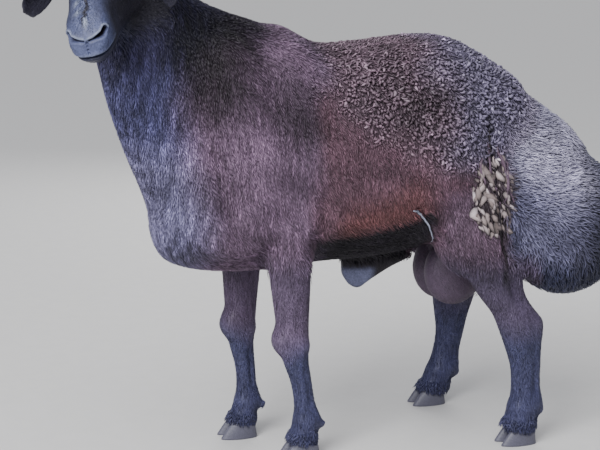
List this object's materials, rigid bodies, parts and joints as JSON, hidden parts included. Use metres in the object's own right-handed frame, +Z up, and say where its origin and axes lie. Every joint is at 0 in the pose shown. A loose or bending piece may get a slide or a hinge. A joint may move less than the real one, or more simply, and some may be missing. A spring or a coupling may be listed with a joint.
{
  "type": "sheep model",
  "caption": "Life-size standing model of a polled, dark, fat-rumped Hissar ram with drooping ears and a curly coat, its head turned to its left.",
  "frame": {"origin": "on the floor under the middle of the bounding box", "axes": "+Z up, -X the way the body faces, -Y the animal's left side"},
  "size_m": [1.2526, 0.4744, 1.0622],
  "materials": {
    "body_fleece": "curled coarse wool, dark brown to rust",
    "rump_fleece": "wavy coarse wool, silvery grey",
    "neck_hair": "short coarse hair, black with a grey sheen",
    "leg_hair": "short smooth hair, black",
    "face_hair": "short smooth hair, blue grey",
    "ear_hair": "short smooth hair, black",
    "bare_skin": "dark thinly haired skin",
    "hoof_horn": "grey horn",
    "eye": "wet amber brown with a dark slot pupil"
  },
  "bodies": {
    "root": {"ear_left": "ear_hair", "ear_right": "ear_hair", "eye_left": "eye", "eye_right": "eye", "foreleg_left": "leg_hair", "foreleg_right": "leg_hair", "head": "face_hair", "hindleg_left": "leg_hair", "hindleg_right": "leg_hair", "hoof_foreleg_left_inner": "hoof_horn", "hoof_foreleg_left_outer": "hoof_horn", "hoof_foreleg_right_inner": "hoof_horn", "hoof_foreleg_right_outer": "hoof_horn", "hoof_hindleg_left_inner": "hoof_horn", "hoof_hindleg_left_outer": "hoof_horn", "hoof_hindleg_right_inner": "hoof_horn", "hoof_hindleg_right_outer": "hoof_horn", "neck": "neck_hair", "rump_left": "rump_fleece", "rump_right": "rump_fleece", "scrotum": "bare_skin", "sheath": "bare_skin", "tail": "rump_fleece", "torso": "body_fleece"}
  },
  "joints": []
}
